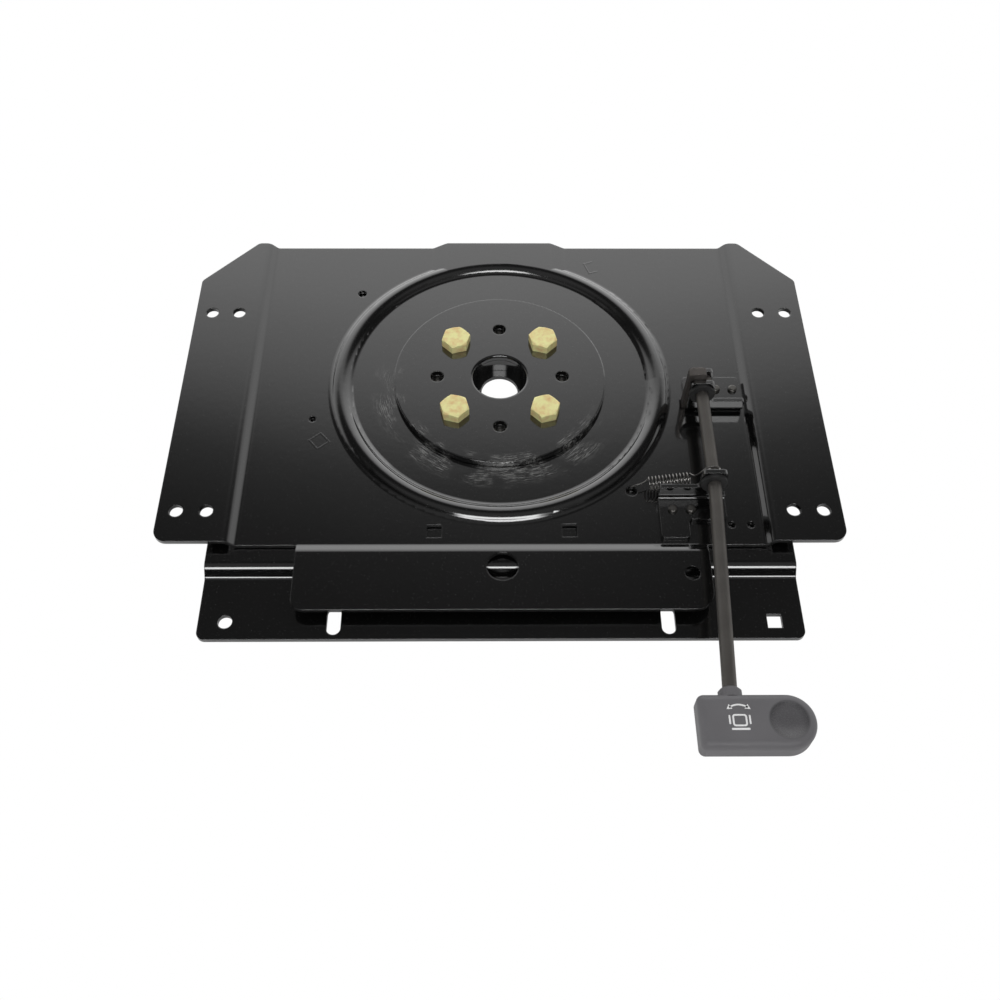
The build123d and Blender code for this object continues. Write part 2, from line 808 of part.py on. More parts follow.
def retaining_clip():
    """Open clip in the rod's groove, with its mouth upwards."""
    inner = rod_radius - clip_groove_depth
    ring = Circle(clip_radius) - Circle(inner)
    mouth = Pos(0, clip_radius) * Rectangle(clip_mouth, 2 * clip_radius)
    lobes = ring - mouth
    for side in (-1, 1):
        reach = (inner + clip_radius) / 2
        lobes = lobes - Pos(side * reach, -clip_lobe_drop) * Circle(clip_lobe_radius)
    return face_in_xz(Pos(lever_axis_x, lever_axis_z) * lobes, clip_front_y, clip_front_y + clip_thickness)


def rod_line():
    """Centre line of the rod, from its back end to inside the handle."""
    turn = math.radians(rod_bend_angle)
    run = handle_back_y - rod_tail_in_handle - rod_bend_y
    end = (lever_axis_x + run * math.tan(turn), rod_bend_y + run, lever_axis_z)
    bend = (lever_axis_x, rod_bend_y, lever_axis_z)
    return FilletPolyline((lever_axis_x, rod_back_y, lever_axis_z), bend, end, radius=rod_bend_radius)


def rod_centre_x(y):
    """X of the rod's centre line in its bent front part."""
    return lever_axis_x + (y - rod_bend_y) * math.tan(math.radians(rod_bend_angle))


def lever_rod():
    """Round rod from the rear ears to the handle."""
    line = rod_line()
    section = Plane(origin=line @ 0, z_dir=line % 0) * Circle(rod_radius)
    rod = sweep(section, path=line)
    groove = rod_hole(clip_front_y, clip_front_y + clip_thickness, 2 * rod_radius)
    groove = groove - rod_hole(washer_front_y, clip_front_y + 2, rod_radius - clip_groove_depth)
    return rod - groove


def pawl_outline():
    """Outline of the locking pawl about the lever axis, drawn in X and Z."""
    tip = main_top + pawl_tip_clearance - lever_axis_z
    head = polygon([
        (-pawl_head_left, 0), (pawl_head_right, 0), (pawl_head_right, pawl_head_height),
        (-pawl_head_left, pawl_head_height)])
    head = round_corners(head, [
        (-pawl_head_left, pawl_head_height, pawl_head_round_left),
        (pawl_head_right, pawl_head_height, pawl_head_round_right)])
    finger = polygon([
        (-pawl_head_left, pawl_root), pawl_shoulder, (-pawl_finger_right, pawl_throat_z),
        (-pawl_finger_right, tip), (-pawl_finger_left, tip)])
    finger = round_corners(finger, [(-pawl_finger_right, pawl_throat_z, pawl_throat_radius)])
    return head + finger + Circle(pawl_hub_radius)


def locking_pawl():
    """Pawl on the rod, whose finger drops through both plates to lock."""
    shape = Pos(lever_axis_x, lever_axis_z) * (pawl_outline() - Circle(rod_radius))
    return face_in_xz(shape, pawl_front_y, pawl_back_y)


def pawl_slot(z0, z1):
    """Opening of the upper plate for the pawl's finger."""
    left = lever_axis_x - pawl_finger_left - slot_side_gap
    reach = (lever_axis_z - upper_top) * math.sin(math.radians(pawl_lock_angle))
    right = lever_axis_x - pawl_finger_right + reach + slot_end_gap
    return box_between(left, right, pawl_front_y - slot_side_gap, pawl_back_y + slot_side_gap, z0, z1)


def lock_notch():
    """Opening of the lower plate that the pawl's finger swings down into."""
    turn = math.radians(pawl_lock_angle)
    drop = lever_axis_z - main_top - pawl_tip_clearance
    left = lever_axis_x - pawl_finger_left
    right = lever_axis_x - pawl_finger_right * math.cos(turn) + drop * math.sin(turn)
    return box_between(left - notch_play, right + notch_end_gap,
                       pawl_front_y - notch_play, pawl_back_y + notch_play, main_bottom - 1, main_top + 1)


def lever_handle():
    """Moulded handle with a round right end and a thumb dimple."""
    front = handle_back_y - handle_depth
    half = handle_depth / 2
    centre_y = handle_back_y - half
    end_x = handle_right_x - half
    bottom = lever_axis_z - handle_thickness / 2
    top = lever_axis_z + handle_thickness / 2
    outline = polygon([
        (handle_left_x, front), (handle_right_x, front),
        (handle_right_x, handle_back_y), (handle_left_x, handle_back_y)])
    outline = round_corners(outline, [
        (handle_left_x, front, handle_corner_radius), (handle_left_x, handle_back_y, handle_corner_radius),
        (handle_right_x, front, half - 0.05), (handle_right_x, handle_back_y, half - 0.05)])
    body = prism(outline, bottom, top)
    body = fillet(body.edges().group_by(Axis.Z)[0], handle_bottom_round)
    body = fillet(body.edges().group_by(Axis.Z)[-1], handle_top_round)
    sphere = (dimple_radius ** 2 + dimple_depth ** 2) / (2 * dimple_depth)
    body = body - Pos(end_x, centre_y, top + sphere - dimple_depth) * Sphere(sphere)
    socket = along_y(rod_centre_x(handle_back_y), lever_axis_z, handle_back_y - 1,
                     handle_back_y + handle_socket_length, handle_socket_radius)
    rim = socket.edges().filter_by(GeomType.CIRCLE).sort_by(Axis.Y)[-1]
    socket = chamfer(rim, handle_socket_chamfer)
    return (body + socket) - lever_rod()


def spring_point(point):
    """Place of the return spring above the upper plate."""
    return Vector(point[0], point[1], upper_top + point[2])


def return_spring():
    """Extension spring from the plate to the rod."""
    start = spring_point(spring_start)
    end = spring_point(spring_end)
    run = end - start
    lift = Plane(origin=start, x_dir=(0, 1, 0), z_dir=run)
    helix = Helix(run.length / spring_turns, run.length, spring_radius)
    wire = sweep(Plane(origin=helix @ 0, z_dir=helix % 0) * RegularPolygon(spring_wire_radius, 6),
                 path=helix, is_frenet=True)
    coil = lift * wire
    first = lift.from_local_coords(helix @ 0)
    last = lift.from_local_coords(helix @ 1)
    hook = end_wire([
        first, Vector(start.X - 3.0, start.Y + 1.5, start.Z - 1.0),
        Vector(spring_hole_xy[0] + 1.0, start.Y, upper_top + 3.5),
        Vector(spring_hole_xy[0] - 1.0, start.Y, upper_top - 0.5)])
    over = rod_radius + spring_wire_radius + 0.25
    arm = end_wire([
        last, Vector(end.X + 2.5, end.Y + 1.0, end.Z + 2.0),
        Vector(lever_axis_x - over * 0.75, end.Y, lever_axis_z + over * 0.66),
        Vector(lever_axis_x, end.Y, lever_axis_z + over),
        Vector(lever_axis_x + over * 0.75, end.Y, lever_axis_z + over * 0.66),
        Vector(lever_axis_x + over, end.Y, lever_axis_z - 0.6)])
    return coil + hook + arm


def end_wire(points):
    """Bent end of the spring's wire."""
    line = Spline(*points)
    return sweep(Plane(origin=line @ 0, z_dir=line % 0) * RegularPolygon(spring_wire_radius, 6), path=line)


def build():
    """All pieces by node name."""
    return {
        "lower_plate": lower_plate(),
        "hub_ring": hub_ring(),
        "hub_screws": hub_screws(),
        "retaining_disc": retaining_disc(),
        "disc_bolts": disc_bolts(),
        "slip_ring": slip_ring(),
        "ball_cage": ball_cage(),
        "bearing_balls": balls(),
        "upper_plate": upper_plate(),
        "front_bracket": front_bracket(),
        "front_rivets": bracket_rivets(0),
        "front_bush": front_bush(),
        "thrust_washer": thrust_washer(),
        "retaining_clip": retaining_clip(),
        "rear_bracket": rear_bracket(),
        "rear_rivets": bracket_rivets(1),
        "rear_bushes": rear_bushes(),
        "lever_rod": lever_rod(),
        "locking_pawl": locking_pawl(),
        "lever_handle": lever_handle(),
        "return_spring": return_spring(),
    }


os.makedirs("parts", exist_ok=True)
for node, shape in build().items():
    export_step(shape, f"parts/{node}.step")
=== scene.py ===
import math
import bmesh
import bpy
from mathutils import Matrix, Vector


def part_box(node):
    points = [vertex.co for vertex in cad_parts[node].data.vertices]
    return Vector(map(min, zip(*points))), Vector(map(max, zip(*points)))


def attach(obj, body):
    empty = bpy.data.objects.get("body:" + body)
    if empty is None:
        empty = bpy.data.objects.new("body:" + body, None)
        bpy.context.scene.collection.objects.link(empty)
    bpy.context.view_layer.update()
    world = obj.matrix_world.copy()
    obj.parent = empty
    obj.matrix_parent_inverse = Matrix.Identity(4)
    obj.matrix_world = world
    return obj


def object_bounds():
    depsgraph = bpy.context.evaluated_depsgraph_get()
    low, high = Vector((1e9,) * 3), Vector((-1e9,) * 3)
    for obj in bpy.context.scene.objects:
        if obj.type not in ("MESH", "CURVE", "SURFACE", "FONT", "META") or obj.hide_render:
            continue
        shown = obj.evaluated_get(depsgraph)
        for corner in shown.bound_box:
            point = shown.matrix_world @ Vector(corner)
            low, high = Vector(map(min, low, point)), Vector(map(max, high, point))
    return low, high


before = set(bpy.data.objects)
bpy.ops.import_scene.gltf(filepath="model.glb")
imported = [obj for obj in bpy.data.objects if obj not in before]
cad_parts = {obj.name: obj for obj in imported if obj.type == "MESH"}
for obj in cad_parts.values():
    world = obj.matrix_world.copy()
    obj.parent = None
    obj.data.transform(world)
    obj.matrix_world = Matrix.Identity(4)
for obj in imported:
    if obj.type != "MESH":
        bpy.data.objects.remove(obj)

bl_info = {
    "name": "Swivel seat base",
    "version": (1, 0, 0),
    "blender": (4, 5, 0),
    "location": "View3D > Sidebar > Swivel base",
    "description": "Finishes and small details of a swivel seat base",
    "category": "Object",
}

CAD_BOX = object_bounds()
HANDLE_LOW, HANDLE_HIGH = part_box("lever_handle")
HANDLE_TOP = HANDLE_HIGH[2]
DISC_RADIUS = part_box("retaining_disc")[1][0]
# Inner and outer radius of the rub marks on the disc and on the plate
DISC_RUB = (DISC_RADIUS - 0.006, DISC_RADIUS + 0.004)
PLATE_RUB = (DISC_RADIUS - 0.001, DISC_RADIUS + 0.013)
# Middle in x and y, turn, half width, and how far left the mark runs
PRESS_MARKS = (
    (-0.1157, -0.0494, math.radians(40), 0.0045, -0.02),
    (0.0677, 0.1054, math.radians(20), 0.0050, -0.001),
)
HANDLE_HALF_DEPTH = 0.01525
DIMPLE_RADIUS = 0.0105
DIMPLE_MIDDLE = (HANDLE_HIGH[0] - HANDLE_HALF_DEPTH, HANDLE_LOW[1] + HANDLE_HALF_DEPTH)


class Value:
    """One output of a shader node, with arithmetic."""

    def __init__(self, paint, socket):
        self.paint = paint
        self.socket = socket

    def math(self, operation, *others, clamp=False):
        sources = [self, *others]
        return self.paint.node("ShaderNodeMath", {"operation": operation, "use_clamp": clamp},
                               {index: source for index, source in enumerate(sources)})

    def flipped(self, operation, other):
        return self.paint.node("ShaderNodeMath", {"operation": operation}, {0: other, 1: self})

    def __add__(self, other):
        return self.math("ADD", other)

    def __radd__(self, other):
        return self.math("ADD", other)

    def __sub__(self, other):
        return self.math("SUBTRACT", other)

    def __rsub__(self, other):
        return self.flipped("SUBTRACT", other)

    def __mul__(self, other):
        return self.math("MULTIPLY", other)

    def __rmul__(self, other):
        return self.math("MULTIPLY", other)

    def __truediv__(self, other):
        return self.math("DIVIDE", other)

    def __pow__(self, other):
        return self.math("POWER", other)

    def above(self, edge, soft):
        """0 below the edge and 1 above it, over a soft step."""
        return ((self - edge) / soft + 0.5).math("ADD", 0.0, clamp=True)

    def largest(self, other):
        return self.math("MAXIMUM", other)


class Paint:
    """A material, and the calls that add nodes to it."""

    def __init__(self, name, tree=None):
        if tree is None:
            self.material = bpy.data.materials.new(name)
            self.material.use_nodes = True
            tree = self.material.node_tree
        self.tree = tree
        tree.nodes.clear()

    def node(self, kind, settings=None, inputs=None, output=0):
        made = self.tree.nodes.new(kind)
        for key, value in (settings or {}).items():
            if key == "stops":
                self.set_stops(made.color_ramp, value)
            else:
                setattr(made, key, value)
        for key, value in (inputs or {}).items():
            self.feed(made.inputs[key], value)
        return Value(self, made.outputs[output])

    @staticmethod
    def set_stops(ramp, stops):
        while len(ramp.elements) > 1:
            ramp.elements.remove(ramp.elements[-1])
        for index, (place, colour) in enumerate(stops):
            element = ramp.elements[0] if index == 0 else ramp.elements.new(place)
            element.position = place
            element.color = (*colour, 1)

    def feed(self, socket, value):
        if isinstance(value, Value):
            self.tree.links.new(value.socket, socket)
        elif socket.type == "RGBA":
            socket.default_value = (*value[:3], 1)
        else:
            socket.default_value = value

    def place(self, scale=(1, 1, 1)):
        """Object coordinates, scaled."""
        source = self.node("ShaderNodeTexCoord", output="Object")
        return self.node("ShaderNodeMapping", {}, {"Vector": source, "Scale": scale})

    def split(self, vector):
        """The three parts of a vector by name."""
        made = self.node("ShaderNodeSeparateXYZ", {}, {"Vector": vector}).socket.node
        return {axis: Value(self, made.outputs[axis]) for axis in "XYZ"}

    def noise(self, vector, scale, detail=3.0, rough=0.5):
        return self.node("ShaderNodeTexNoise", {}, {
            "Vector": vector, "Scale": scale, "Detail": detail, "Roughness": rough}, output=0)

    def mix(self, share, first, second):
        """Colour between two colours."""
        return self.node("ShaderNodeMix", {"data_type": "RGBA"}, {0: share, 6: first, 7: second}, output=2)

    def bump(self, height, strength, distance, normal=None):
        inputs = {"Height": height, "Strength": strength, "Distance": distance}
        if normal is not None:
            inputs["Normal"] = normal
        return self.node("ShaderNodeBump", {}, inputs)

    def edge(self, radius):
        return self.node("ShaderNodeBevel", {"samples": 6}, {"Radius": radius})

    def finish(self, **sockets):
        names = {key.replace("_", " "): value for key, value in sockets.items()}
        shader = self.node("ShaderNodeBsdfPrincipled", {}, names)
        self.node_output(shader)
        return self.material

    def node_output(self, shader):
        out = self.tree.nodes.new("ShaderNodeOutputMaterial")
        self.tree.links.new(shader.socket, out.inputs["Surface"])


class SwivelFinish(bpy.types.PropertyGroup):
    """Colours and roughness of the finishes."""
    paint_colour: bpy.props.FloatVectorProperty(
        name="Paint colour", description="Black paint of the plates and brackets",
        subtype="COLOR", size=3, default=(0.003, 0.003, 0.003))
    paint_roughness: bpy.props.FloatProperty(
        name="Paint roughness", description="Roughness of the gloss paint", default=0.09, min=0.0, max=1.0)
    zinc_colour: bpy.props.FloatVectorProperty(
        name="Zinc colour", description="Yellow zinc of the hex bolts",
        subtype="COLOR", size=3, default=(0.92, 0.88, 0.42))
    rod_colour: bpy.props.FloatVectorProperty(
        name="Rod colour", description="Phosphated steel of the lever rod",
        subtype="COLOR", size=3, default=(0.120, 0.113, 0.105))
    handle_colour: bpy.props.FloatVectorProperty(
        name="Handle colour", description="Moulded plastic of the handle",
        subtype="COLOR", size=3, default=(0.128, 0.125, 0.132))


class SwivelSign(bpy.types.PropertyGroup):
    """Size and place of the sign on the handle."""
    middle: bpy.props.FloatVectorProperty(
        name="Middle", description="Middle of the seat on the sign", subtype="TRANSLATION", unit="LENGTH",
        size=2, default=(0.1233, -0.2502))
    seat: bpy.props.FloatVectorProperty(
        name="Seat", description="Width and depth of the seat on the sign",
        subtype="TRANSLATION", unit="LENGTH",
        size=2, default=(0.0078, 0.0068))
    line: bpy.props.FloatProperty(
        name="Line", description="Width of the printed lines", unit="LENGTH", default=0.0010)
    swing: bpy.props.FloatProperty(
        name="Swing", description="Radius of the double arrow", unit="LENGTH", default=0.0086)
    reach: bpy.props.FloatProperty(
        name="Reach", description="How far the arrow runs to each side", subtype="ANGLE",
        default=math.radians(34))
    thickness: bpy.props.FloatProperty(
        name="Thickness", description="Thickness of the print", unit="LENGTH", default=0.00008)


class SwivelStage(bpy.types.PropertyGroup):
    """Camera."""
    lens: bpy.props.FloatProperty(
        name="Lens", description="Focal length on a sensor 36 mm wide, in millimetres", default=39.535)
    camera_place: bpy.props.FloatVectorProperty(
        name="Camera place", description="Place of the camera in the frame of the object",
        subtype="TRANSLATION", unit="LENGTH", size=3, default=(-0.00626, -0.46774, 0.57919))
    camera_down: bpy.props.FloatProperty(
        name="Camera tilt", description="How far the camera looks down",
        subtype="ANGLE", default=math.radians(56.63))
    camera_turn: bpy.props.FloatProperty(
        name="Camera turn", description="How far the camera is turned to the right",
        subtype="ANGLE", default=math.radians(0.91))
    camera_roll: bpy.props.FloatProperty(
        name="Camera roll", description="Roll of the camera", subtype="ANGLE", default=math.radians(0.67))


def finish_settings():
    return bpy.context.scene.swivel_finish


def sign_settings():
    return bpy.context.scene.swivel_sign


def stage_settings():
    return bpy.context.scene.swivel_stage


def shades(colour, dark, light):
    """A darker and a lighter shade of a colour."""
    return [part * dark for part in colour], [part * light for part in colour]


def paint_node(node, material):
    """Give a CAD node a material."""
    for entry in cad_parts[node].material_slots:
        entry.material = material


def rub_marks(paint, where, inner, outer):
    """Grey rub marks in a ring round the rim of the disc, most of them at its front left."""
    parts = paint.split(where)
    x, y = parts["X"], parts["Y"]
    radius = (x * x + y * y) ** 0.5
    angle = y.math("ARCTAN2", x)
    wobble = paint.noise(where, 30.0, detail=3.0)
    around = paint.node("ShaderNodeCombineXYZ", {}, {0: radius * 1700.0 + wobble * 16.0, 1: angle * 9.0})
    streaks = paint.noise(around, 1.0, detail=5.0, rough=0.7)
    patches = paint.noise(where, 52.0, detail=3.0)
    ring = radius.above(inner, 0.003) * (1.0 - radius.above(outer, 0.008))
    front = (y * -1.0 - x * 0.3).above(0.024, 0.04)
    return streaks.above(0.55, 0.12) * patches.above(0.49, 0.12) * ring * front


def press_marks(paint, where):
    """Shallow outlines that the press tools left on the plate: a whole square and part of one."""
    height = 0.0
    for middle_x, middle_y, turn, half, cut in PRESS_MARKS:
        turned = paint.node("ShaderNodeMapping", {"vector_type": "TEXTURE"}, {
            "Vector": where, "Location": (middle_x, middle_y, 0), "Rotation": (0, 0, turn)})
        parts = paint.split(turned)
        out = parts["X"].math("ABSOLUTE").largest(parts["Y"].math("ABSOLUTE"))
        line = 1.0 - (out - half).math("ABSOLUTE").above(0.00045, 0.0004)
        height = height + line * (parts["X"] * -1.0).above(cut, 0.0005)
    return height


def gloss_paint(name, marks_at=None):
    """Gloss black paint with a faint orange peel, dust and, round the disc, rub marks."""
    settings = finish_settings()
    paint = Paint(name)
    where = paint.place()
    peel = paint.noise(where, 260.0, detail=2.0)
    dust = paint.noise(where, 1400.0, detail=2.0)
    cloud = paint.noise(where, 14.0, detail=4.0)
    specks = dust.above(0.71, 0.04)
    rough = settings.paint_roughness + cloud * 0.05 + specks * 0.2
    colour = paint.mix(specks * 0.25, settings.paint_colour, (0.10, 0.10, 0.10))
    if marks_at:
        marks = rub_marks(paint, where, *marks_at)
        colour = paint.mix(marks * 0.5, colour, (0.34, 0.34, 0.33))
        rough = rough + marks * 0.25
    normal = paint.bump(peel, 0.05, 0.0004, paint.edge(0.0010))
    if marks_at:
        normal = paint.bump(press_marks(paint, where), 0.7, 0.0005, normal)
    return paint.finish(Base_Color=colour, Roughness=rough, Normal=normal, IOR=1.6,
                        Specular_IOR_Level=0.8, Coat_Weight=1.0, Coat_Roughness=0.05, Coat_IOR=1.5)


def yellow_zinc():
    """Yellow chromated zinc, greener in patches."""
    settings = finish_settings()
    paint = Paint("yellow_zinc")
    where = paint.place()
    patches = paint.noise(where, 230.0, detail=4.0)
    grain = paint.noise(where, 900.0, detail=2.0)
    colour = paint.mix(patches.above(0.58, 0.36), settings.zinc_colour, (0.80, 0.55, 0.25))
    rough = 0.30 + grain * 0.18
    normal = paint.bump(grain, 0.15, 0.0002, paint.edge(0.0005))
    return paint.finish(Base_Color=colour, Metallic=0.35, Roughness=rough, Normal=normal)


def bare_steel(name, colour, roughness, grain_scale=700.0, edge=0.0004):
    """Plain steel with a fine grain."""
    paint = Paint(name)
    where = paint.place()
    grain = paint.noise(where, grain_scale, detail=2.0)
    shade = paint.noise(where, 90.0, detail=3.0)
    tone = paint.mix(shade, *shades(colour, 0.8, 1.15))
    rough = roughness + grain * 0.14
    normal = paint.bump(grain, 0.1, 0.0001, paint.edge(edge))
    return paint.finish(Base_Color=tone, Metallic=1.0, Roughness=rough, Normal=normal)


def rod_finish():
    """Dark phosphated rod with drawn lines along it."""
    settings = finish_settings()
    paint = Paint("rod_finish")
    where = paint.place(scale=(1.0, 0.06, 1.0))
    lines = paint.noise(where, 900.0, detail=2.0)
    patches = paint.noise(paint.place(), 60.0, detail=4.0)
    colour = paint.mix(patches, *shades(settings.rod_colour, 0.75, 1.3))
    rough = 0.40 + lines * 0.12
    normal = paint.bump(lines, 0.12, 0.0002)
    return paint.finish(Base_Color=colour, Metallic=0.75, Roughness=rough, Normal=normal)


def moulded_plastic(name, colour, roughness, scale=1600.0):
    """Moulded plastic with a fine grain."""
    paint = Paint(name)
    where = paint.place()
    grain = paint.noise(where, scale, detail=2.0)
    soft = paint.noise(where, 45.0, detail=3.0)
    tone = paint.mix(soft, *shades(colour, 0.85, 1.15))
    normal = paint.bump(grain, 0.18, 0.0003, paint.edge(0.0005))
    return paint.finish(Base_Color=tone, Roughness=roughness + grain * 0.1, Normal=normal)


def handle_plastic():
    """Grained plastic of the handle, with painted shade in the thumb dimple and rubbed smooth there."""
    settings = finish_settings()
    paint = Paint("handle_plastic")
    where = paint.place()
    parts = paint.split(where)
    aside = parts["X"] - DIMPLE_MIDDLE[0]
    along = parts["Y"] - DIMPLE_MIDDLE[1]
    reach = (aside * aside + along * along) ** 0.5
    in_dimple = 1.0 - reach.above(DIMPLE_RADIUS, 0.0012)
    # Painted shade: a darker ring just inside the rim of the dimple
    dimple_rim_shade = in_dimple * reach.above(DIMPLE_RADIUS - 0.0018, 0.004)
    grain = paint.noise(where, 1600.0, detail=2.0)
    soft = paint.noise(where, 45.0, detail=3.0)
    tone = paint.mix(soft, *shades(settings.handle_colour, 0.88, 1.12))
    # Painted shade: the dimple is darkened, most of all in the ring inside its rim
    tone = paint.mix(in_dimple * 0.35 + dimple_rim_shade * 0.35, tone, (0.03, 0.03, 0.031))
    rough = 0.42 + grain * 0.1 - in_dimple * 0.2
    normal = paint.bump(grain, 0.15, 0.0003, paint.edge(0.0012))
    return paint.finish(Base_Color=tone, Roughness=rough, Normal=normal)


class SWIVEL_OT_plates(bpy.types.Operator):
    """Gloss black paint on the plates, the disc and the brackets"""
    bl_idname = "swivel.plates"
    bl_label = "Paint plates"

    def execute(self, context):
        black = gloss_paint("gloss_paint")
        for node in ("lower_plate", "front_bracket", "rear_bracket"):
            paint_node(node, black)
        paint_node("upper_plate", gloss_paint("turntable_paint", PLATE_RUB))
        paint_node("retaining_disc", gloss_paint("disc_paint", DISC_RUB))
        paint_node("hub_ring", gloss_paint("hub_paint"))
        return {"FINISHED"}


class SWIVEL_OT_metal(bpy.types.Operator):
    """Bare and plated metal of the bolts, rod, clip, spring and balls"""
    bl_idname = "swivel.metal"
    bl_label = "Finish metal"

    def execute(self, context):
        paint_node("disc_bolts", yellow_zinc())
        paint_node("lever_rod", rod_finish())
        dull = bare_steel("dull_steel", (0.17, 0.165, 0.155), 0.34)
        for node in ("front_rivets", "rear_rivets", "hub_screws"):
            paint_node(node, dull)
        bright = bare_steel("bright_steel", (0.72, 0.72, 0.70), 0.16)
        paint_node("bearing_balls", bright)
        paint_node("retaining_clip", bare_steel("clip_steel", (0.78, 0.77, 0.75), 0.15))
        paint_node("return_spring", bare_steel("spring_steel", (0.30, 0.29, 0.28), 0.24))
        paint_node("thrust_washer", bare_steel("washer_steel", (0.09, 0.09, 0.085), 0.42))
        paint_node("locking_pawl", bare_steel("pawl_steel", (0.15, 0.138, 0.13), 0.45, 500.0, 0.0014))
        return {"FINISHED"}


class SWIVEL_OT_plastic(bpy.types.Operator):
    """Moulded plastic of the handle, bushes, slip ring and cage"""
    bl_idname = "swivel.plastic"
    bl_label = "Finish plastic"

    def execute(self, context):
        paint_node("lever_handle", handle_plastic())
        black = moulded_plastic("bush_plastic", (0.02, 0.02, 0.02), 0.45)
        for node in ("front_bush", "rear_bushes"):
            paint_node(node, black)
        pale = moulded_plastic("slip_plastic", (0.62, 0.61, 0.58), 0.5)
        for node in ("slip_ring", "ball_cage"):
            paint_node(node, pale)
        return {"FINISHED"}


def settle(name):
    """Name the object just added and put its place into its mesh."""
    piece = bpy.context.object
    piece.name = name
    bpy.ops.object.transform_apply(location=True, rotation=True, scale=True)
    return piece


def rounded_bar(name, middle, size, corner):
    """Flat bar with round corners on the top of the handle."""
    bpy.ops.mesh.primitive_plane_add(size=1.0, location=(*middle, HANDLE_TOP))
    bpy.context.object.scale = (*size, 1.0)
    bar = settle(name)
    bpy.ops.object.mode_set(mode="EDIT")
    bpy.ops.mesh.select_all(action="SELECT")
    bpy.ops.mesh.bevel(offset=corner, segments=4, affect="VERTICES")
    bpy.ops.object.mode_set(mode="OBJECT")
    return bar


def select_points(piece, chosen):
    """Select the points of a mesh in edit mode that a test picks."""
    mesh = bmesh.from_edit_mesh(piece.data)
    for point in mesh.verts:
        point.select = chosen(point.co)
    mesh.select_flush_mode()
    bmesh.update_edit_mesh(piece.data)


class SWIVEL_OT_sign(bpy.types.Operator):
    """White sign on the handle: a seat from above under a double arrow"""
    bl_idname = "swivel.sign"
    bl_label = "Print the sign"

    def execute(self, context):
        sign = sign_settings()
        x, y = sign.middle
        width, depth = sign.seat
        line = sign.line
        gap = line * 1.4
        parts = [self.cushion(sign)]
        for side in (-1, 1):
            place = (x + side * (width / 2 + gap), y + depth * 0.05)
            parts.append(rounded_bar("arm", place, (line, depth * 0.75), line * 0.45))
        place = (x, y - depth / 2 - gap)
        parts.append(rounded_bar("backrest", place, (width * 1.25, line * 1.2), line * 0.5))
        parts.append(self.arc(sign))
        parts.extend(self.head(sign, side) for side in (-1, 1))
        self.print_on_handle(parts, sign.thickness)
        return {"FINISHED"}

    @staticmethod
    def cushion(sign):
        """Outline of the seat cushion."""
        cushion = rounded_bar("cushion", tuple(sign.middle), tuple(sign.seat), sign.seat[0] * 0.2)
        bpy.ops.object.mode_set(mode="EDIT")
        bpy.ops.mesh.select_all(action="SELECT")
        bpy.ops.mesh.inset(thickness=sign.line)
        bpy.ops.mesh.delete(type="FACE")
        bpy.ops.object.mode_set(mode="OBJECT")
        return cushion

    @staticmethod
    def arc(sign):
        """Bow of the double arrow, spun about the middle of the seat."""
        x, y = sign.middle
        start = (x + math.sin(sign.reach) * sign.swing, y + math.cos(sign.reach) * sign.swing, HANDLE_TOP)
        bpy.ops.mesh.primitive_plane_add(size=1.0, location=start, rotation=(0, 0, -sign.reach))
        bpy.context.object.scale = (sign.line * 0.1, sign.line, 1.0)
        bow = settle("bow")
        bpy.ops.object.mode_set(mode="EDIT")
        along = Vector((math.cos(sign.reach), -math.sin(sign.reach), 0))
        select_points(bow, lambda point: (point - Vector(start)).dot(along) < 0)
        bpy.ops.mesh.spin(steps=24, angle=-2 * sign.reach, center=(x, y, HANDLE_TOP), axis=(0, 0, 1))
        bpy.ops.object.mode_set(mode="OBJECT")
        return bow

    @staticmethod
    def head(sign, side):
        """One head of the double arrow."""
        x, y = sign.middle
        turn = side * sign.reach
        place = (x + math.sin(turn) * sign.swing, y + math.cos(turn) * sign.swing, HANDLE_TOP)
        bpy.ops.mesh.primitive_circle_add(
            vertices=3, radius=sign.line * 1.9, fill_type="NGON", location=place,
            rotation=(0, 0, -turn - side * math.pi / 2))
        return settle("head")

    @staticmethod
    def print_on_handle(parts, thickness):
        """Join the flat parts, give them their thickness and let them ride on the lever."""
        bpy.ops.object.select_all(action="DESELECT")
        for part in parts:
            part.select_set(True)
        bpy.context.view_layer.objects.active = parts[0]
        bpy.ops.object.join()
        sign = bpy.context.object
        sign.name = "swivel_sign"
        bpy.ops.object.mode_set(mode="EDIT")
        bpy.ops.mesh.select_all(action="SELECT")
        bpy.ops.mesh.remove_doubles(threshold=0.000001)
        bpy.ops.mesh.extrude_region_move(TRANSFORM_OT_translate={"value": (0, 0, thickness)})
        bpy.ops.mesh.select_all(action="SELECT")
        bpy.ops.mesh.normals_make_consistent(inside=False)
        bpy.ops.object.mode_set(mode="OBJECT")
        bpy.ops.object.origin_set(type="ORIGIN_CURSOR")
        sign.data.materials.append(moulded_plastic("sign_white", (0.80, 0.80, 0.80), 0.5))
        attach(sign, "lever")


